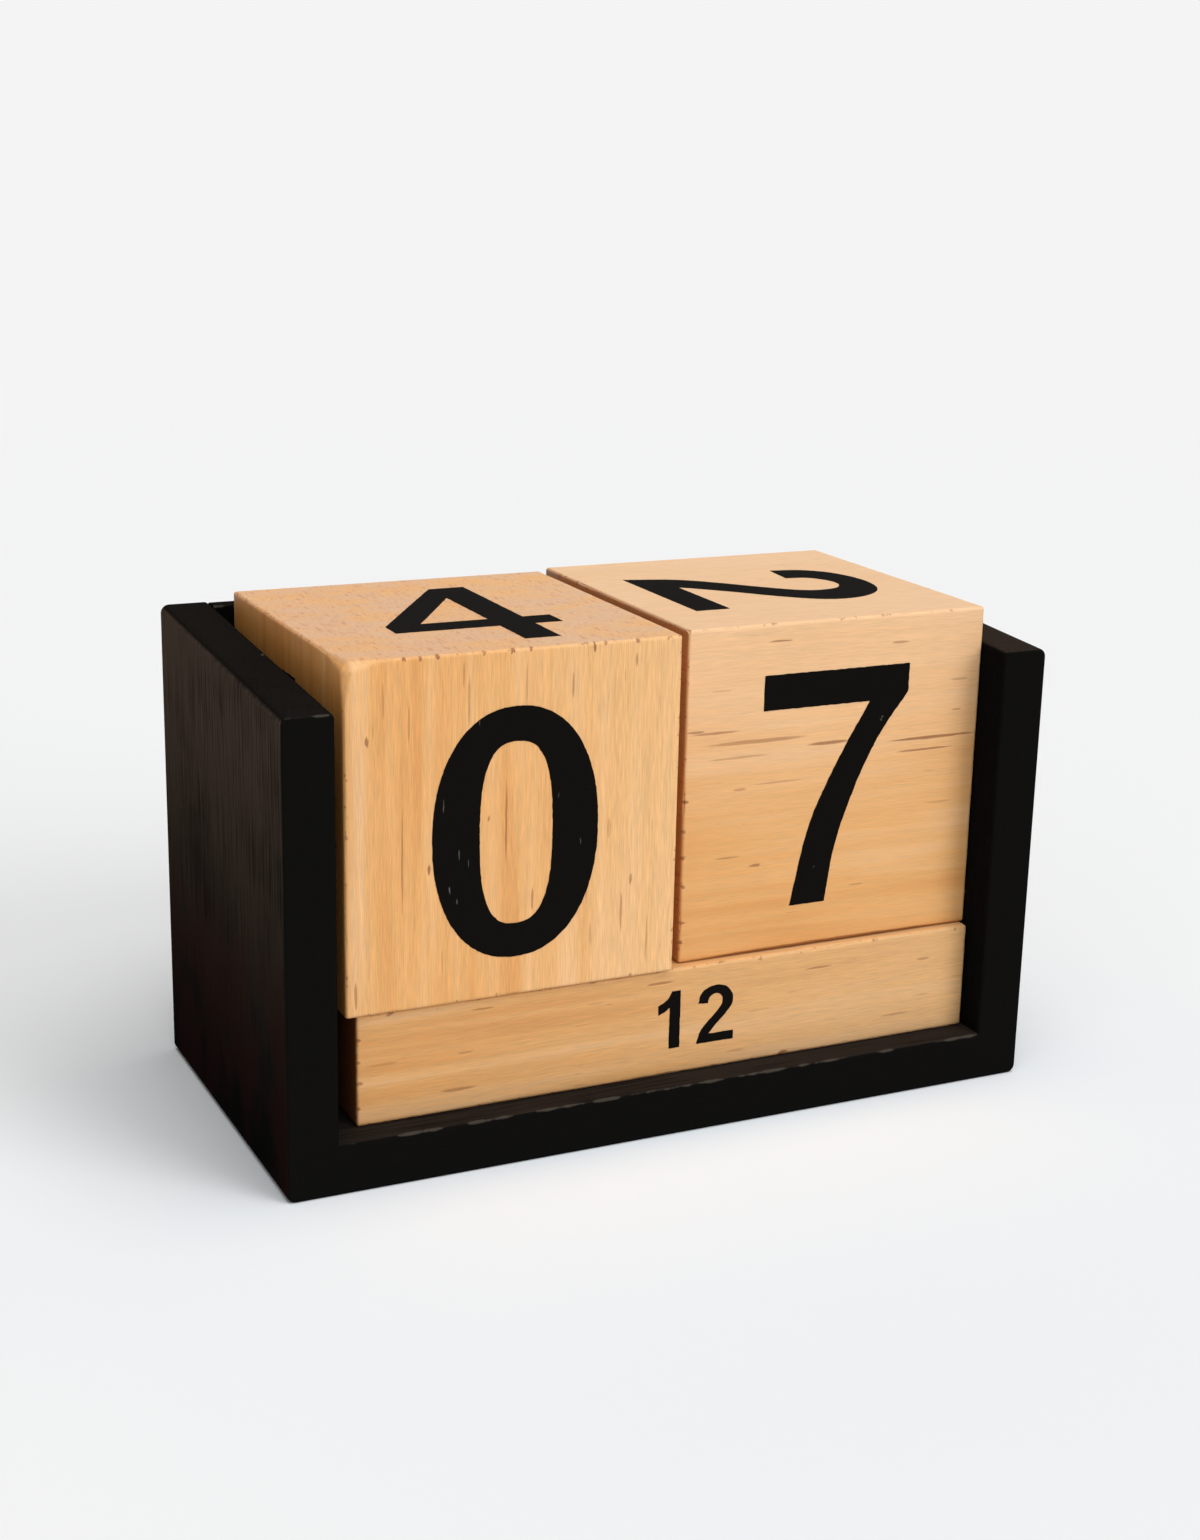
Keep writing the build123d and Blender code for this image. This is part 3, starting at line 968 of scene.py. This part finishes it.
def edge_highlight(tree, place, low, high, slope):
    """A thin broken painted highlight along a board's upper front edge, which climbs by slope to the
    back.
    """
    spot = xyz(tree, place)
    climb = product(tree, calc(tree, "SUBTRACT", high.y, spot["Y"]), slope)
    under_top = calc(tree, "SUBTRACT", calc(tree, "SUBTRACT", high.z, climb), spot["Z"])
    edge = calc(tree, "MAXIMUM", calc(tree, "SUBTRACT", spot["Y"], low.y), under_top)
    broken = noise_at(tree, place, HIGHLIGHT_BREAKS, detail=4.0)
    reach = product(tree, step(tree, broken, 0.38, 0.66), HIGHLIGHT_REACH)
    return step(tree, calc(tree, "SUBTRACT", edge, reach), 0.12 * MM, -0.10 * MM)


def dust_specks(tree, place):
    """A small pale speck in the middle of every fifth cell or so."""
    cell = add_node(tree, "ShaderNodeTexVoronoi", {"Vector": place, "Scale": DUST_CELLS}).outputs
    speck = step(tree, cell["Distance"], SPECK_OUTSIDE, SPECK_INSIDE)
    return product(tree, speck, step(tree, xyz(tree, cell["Color"])[0], *DUSTY))


# %% Thin black paint
BLACK = (0.0054, 0.0052, 0.0048, 1)
THIN_PAINT_AND_SHEEN = (0.066, 0.046, 0.034, 1)
RED_PAINT = (0.042, 0.012, 0.008, 1)
PALE_HIGHLIGHT = (0.065, 0.056, 0.045, 1)
DUST = (0.14, 0.14, 0.13, 1)
BRUSH_CLOUDS = (20 * MM, 20 * MM, 20 * MM)
BRUSH_LINES = (0.5 * MM, 0.5 * MM, 14 * MM)
PORES = (0.3 * MM, 0.3 * MM, 4 * MM)
RED_PATCHES = (16 * MM, 16 * MM, 22 * MM)
SHEEN_HEIGHTS = (4 * MM, 78 * MM)  # over these heights the outer faces turn brown: thin paint and a painted reflection
RED_HEIGHTS = (60 * MM, 30 * MM)  # and under these, reddish
THIN_BEHIND, RED_SHARE, HIGHLIGHT_SHARE, DUST_SHARE = 0.55, 0.22, 0.7, 0.7
PAINT_ROUGHNESS, PAINT_RELIEF, PAINT_GLOSS = 0.40, 0.035 * MM, 0.0


def looks_along(tree, part):
    """1 on the faces that look one way, 0 on those that look elsewhere."""
    return step(tree, part, 0.6, 0.95)


def black_paint(name, node, grain, slope, outside, worn_top):
    """Thin black paint; slope is the climb of the board's upper edge from front to back.

    Outside is -1 or 1 for a wall whose outer face looks along -X or X, and 0 for other boards.
    Worn_top tells how thin the paint is on the faces that look up.
    """
    material, tree = new_material(name)
    place, at = object_place(tree), grain_place(tree, grain, (0.2, 0.3, 0.1))
    cloud = noise_at(tree, place, BRUSH_CLOUDS, detail=3.0)
    fibre = noise_at(tree, at, BRUSH_LINES, detail=3.0)
    x, y, z = xyz(tree, way_out(tree))
    outer = looks_along(tree, product(tree, x, outside))
    height = xyz(tree, place)["Z"]

    # Brown where the paint is thin: outer faces, back and upper edges. On the outer faces it is also a
    # painted reflection that grows towards the top.
    thin = step(tree, weighted(tree, (cloud, 0.9), (fibre, 0.6)), 0.35, 0.85)
    up = product(tree, looks_along(tree, z), worn_top)
    behind = calc(tree, "MULTIPLY_ADD", looks_along(tree, y), THIN_BEHIND, up)
    where = calc(tree, "MULTIPLY_ADD", outer, step(tree, height, *SHEEN_HEIGHTS), behind)
    lines = calc(tree, "MULTIPLY_ADD", fibre, 1.2, 0.4)
    colour = blend_colours(tree, product(tree, thin, where, lines), BLACK, THIN_PAINT_AND_SHEEN)

    # A reddish cast, low on the outer faces.
    patch = noise_at(tree, place, RED_PATCHES, detail=2.0, offset=(0.1, 0.4, 0.2))
    low_down = step(tree, height, *RED_HEIGHTS)
    red = product(tree, step(tree, patch, 0.42, 0.6), outer, low_down, RED_SHARE)
    colour = blend_colours(tree, red, colour, RED_PAINT)

    # A thin painted highlight along the upper front edge, then dust.
    highlight = edge_highlight(tree, place, *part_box(node), slope)
    colour = blend_colours(tree, product(tree, highlight, HIGHLIGHT_SHARE), colour, PALE_HIGHLIGHT)
    dust = product(tree, dust_specks(tree, place), DUST_SHARE)
    colour = blend_colours(tree, dust, colour, DUST)

    pores = step(tree, noise_at(tree, at, PORES, detail=1.0), 0.58, 0.75)
    relief = calc(tree, "ADD", fibre, product(tree, pores, -0.5))
    rough = calc(tree, "ADD", PAINT_ROUGHNESS, product(tree, cloud, 0.25))
    finish_shader(tree, colour, rough, relief, PAINT_RELIEF, **{"Specular IOR Level": PAINT_GLOSS})
    return material


# %% Paint the four boards
WALL_SLOPE = 0.057  # the climb of the walls' upper edges, from front to back


def dress(node, material):
    """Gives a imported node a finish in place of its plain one."""
    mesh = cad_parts[node].data
    mesh.materials.clear()
    mesh.materials.append(material)
    print(node, "has", material.name)


for node, grain, slope, outside, worn_top in (
    ("left_wall", "Z", WALL_SLOPE, -1, 0.10),
    ("right_wall", "Z", WALL_SLOPE, 1, 0.40),
    ("base_board", "X", 0.0, 0, 0.28),
    ("back_panel", "X", 0.0, 0, 0.10),
):
    dress(node, black_paint(f"black paint, {node}", node, grain, slope, outside, worn_top))

# %% [markdown]
# The wall pins are drawn steel wire. They are hidden in the boards, and get their finish so that a
# cut-away view shows steel.

# %% Steel for the hidden pins
STEEL_DARK, STEEL_BRIGHT = (0.42, 0.42, 0.43, 1), (0.62, 0.62, 0.63, 1)
DRAWN_LINES = (5 * MM, 0.08 * MM, 0.08 * MM)
STEEL_ROUGHNESS, STEEL_RELIEF = 0.22, 0.004 * MM


def drawn_steel():
    material, tree = new_material("drawn steel wire")
    lines = noise_at(tree, object_place(tree), DRAWN_LINES, detail=2.0)
    colour = blend_colours(tree, lines, STEEL_DARK, STEEL_BRIGHT)
    rough = calc(tree, "ADD", STEEL_ROUGHNESS, product(tree, lines, 0.2))
    finish_shader(tree, colour, rough, lines, STEEL_RELIEF, Metallic=1.0)
    return material


STEEL = drawn_steel()
for node in ("left_wall_pins", "right_wall_pins"):
    dress(node, STEEL)

# %% [markdown]
# ## Table and background
#
# The calendar stands on a seamless pale sheet. A floor that ends would show a horizon, so its
# finish fades with distance into the same pale tone that the world gives to the camera. The tone
# is a colour, not brighter lamps, so the object stays at a plain light level.

# %% A seamless pale floor
BACKDROP = (0.905, 0.905, 0.905, 1)
FLOOR_TONE = (0.898, 0.900, 0.903, 1)
FRONT_SHADE_TONE = (0.805, 0.850, 0.890, 1)  # painted shade in front: a cooler, darker tone that cancels the warm light the wood throws on the sheet
FRONT_PLACE, FRONT_REACH = (0.0, -0.055, 0.0), 0.14
FLOOR_HALF = 3.0  # from the middle of the sheet to its edge
CLEAR_FROM, CLEAR_TO = 0.42, 1.3  # distances over which the floor fades into the backdrop


def pale_floor_material():
    material, tree = new_material("pale seamless sheet")
    place = object_place(tree)
    faded = step(tree, vector(tree, "LENGTH", place), CLEAR_FROM, CLEAR_TO)
    rays = add_node(tree, "ShaderNodeLightPath").outputs
    seen = calc(tree, "MAXIMUM", rays["Is Camera Ray"], rays["Is Glossy Ray"])
    from_front = vector(tree, "LENGTH", vector(tree, "SUBTRACT", place, FRONT_PLACE))
    # Painted shade in front of the calendar, against the warm light the wood throws there.
    tone = blend_colours(tree, step(tree, from_front, FRONT_REACH, 0.0), FLOOR_TONE, FRONT_SHADE_TONE)
    matte = add_node(tree, "ShaderNodeBsdfDiffuse", {"Color": tone})
    glow = add_node(tree, "ShaderNodeEmission", {"Color": BACKDROP, "Strength": 1.0})
    share = product(tree, faded, seen)
    mixed = add_node(tree, "ShaderNodeMixShader", {0: share, 1: matte.outputs[0], 2: glow.outputs[0]})
    out = tree.nodes.new("ShaderNodeOutputMaterial")
    tree.links.new(mixed.outputs[0], out.inputs["Surface"])
    return material


def pale_floor():
    mesh = bpy.data.meshes.new("floor")
    s = FLOOR_HALF
    mesh.from_pydata([(-s, -s, 0), (s, -s, 0), (s, s, 0), (-s, s, 0)], [], [(0, 1, 2, 3)])
    mesh.materials.append(pale_floor_material())
    floor = bpy.data.objects.new("floor", mesh)
    bpy.context.scene.collection.objects.link(floor)
    print("floor:", 2 * s, "m wide")


pale_floor()

# %% [markdown]
# The world does two things. To the camera, to gloss and to glass it shows the backdrop's tone, and
# to everything else it gives a weak light from all round, so that the lamps make the shadows.

# %% The world
WORLD_LIGHT = 0.10


def studio_world():
    world = bpy.data.worlds.new("studio")
    world.use_nodes = True
    tree = world.node_tree
    tree.nodes.clear()
    rays = add_node(tree, "ShaderNodeLightPath").outputs
    seen = calc(tree, "MAXIMUM", rays["Is Camera Ray"], rays["Is Glossy Ray"])
    seen = calc(tree, "MAXIMUM", seen, rays["Is Transmission Ray"])
    light = add_node(tree, "ShaderNodeBackground", {"Color": (1, 1, 1, 1), "Strength": WORLD_LIGHT})
    shown = add_node(tree, "ShaderNodeBackground", {"Color": BACKDROP, "Strength": 1.0})
    mixed = add_node(tree, "ShaderNodeMixShader", {0: seen, 1: light.outputs[0], 2: shown.outputs[0]})
    out = tree.nodes.new("ShaderNodeOutputWorld")
    tree.links.new(mixed.outputs[0], out.inputs["Surface"])
    bpy.context.scene.world = world


studio_world()

# %% [markdown]
# ## Lamps
#
# The photograph's shadow is soft: it falls to the left and behind, is deepest at the foot of the
# left wall, and the right wall shades the edge of the right cube. Three wide suns give that: the
# room's own light from almost straight above, a low window in front on the right, and a weaker,
# very wide one in front on the left. A sun's direction is given by its bearing, counter-clockwise
# from the right, and its height above the table. Its share is the part of the table's light that
# it brings; a sun that shines straight down needs a strength of pi to show a colour as written.

# %% Three wide suns
def sun(name, bearing, height, width, share):
    """A distant lamp; the angles are in degrees."""
    bearing, height = math.radians(bearing), math.radians(height)
    data = bpy.data.lights.new(name, "SUN")
    data.energy = math.pi * share / math.sin(height)
    data.angle = math.radians(width)
    lamp = bpy.data.objects.new(name, data)
    lamp.location = (
        math.cos(height) * math.cos(bearing), math.cos(height) * math.sin(bearing), math.sin(height)
    )
    lamp.rotation_euler = (-lamp.location).to_track_quat("-Z", "Y").to_euler()
    bpy.context.scene.collection.objects.link(lamp)
    print(f"{name}: strength {data.energy:.2f}, {math.degrees(data.angle):.0f} degrees wide")


sun("room", bearing=290, height=76, width=53, share=0.61)
sun("right window", bearing=305, height=24, width=34, share=0.17)
sun("left window", bearing=238, height=42, width=60, share=0.12)

# %% [markdown]
# ## The camera
#
# Its place was found by fitting a pinhole camera to the straight edges of the object in the
# photograph, whose frame is 1200 by 1540 pixels. Blender's lens is in millimetres on a sensor whose
# long side is 36 mm, so the focal length in pixels is scaled by 36 / 1540. The camera was held a
# little askew, so it also rolls about its own axis.

# %% Camera at the photograph's viewpoint
PHOTO_HEIGHT = 1540
SENSOR = 36.0
FOCAL_PIXELS = 2270.7
CAMERA_PLACE = Vector((-0.14460, -0.30256, 0.14287))
CAMERA_YAW, CAMERA_PITCH, CAMERA_ROLL = (math.radians(a) for a in (-25.554, -15.797, 1.274))


def photo_camera():
    data = bpy.data.cameras.new("camera")
    data.sensor_width = SENSOR
    data.lens = FOCAL_PIXELS * SENSOR / PHOTO_HEIGHT
    data.clip_start = 0.01
    ahead = Vector((
        -math.sin(CAMERA_YAW) * math.cos(CAMERA_PITCH),
        math.cos(CAMERA_YAW) * math.cos(CAMERA_PITCH),
        math.sin(CAMERA_PITCH),
    ))
    level = ahead.cross(Vector((0, 0, 1))).normalized()
    upright = level.cross(ahead)
    right = level * math.cos(CAMERA_ROLL) + upright * math.sin(CAMERA_ROLL)
    up = upright * math.cos(CAMERA_ROLL) - level * math.sin(CAMERA_ROLL)
    camera = bpy.data.objects.new("camera", data)
    turn = Matrix((right, up, -ahead)).transposed().to_4x4()
    camera.matrix_world = Matrix.Translation(CAMERA_PLACE) @ turn
    bpy.context.scene.collection.objects.link(camera)
    bpy.context.scene.camera = camera
    print(f"camera: {data.lens:.1f} mm lens")


photo_camera()
bpy.context.scene.view_settings.view_transform = "Standard"
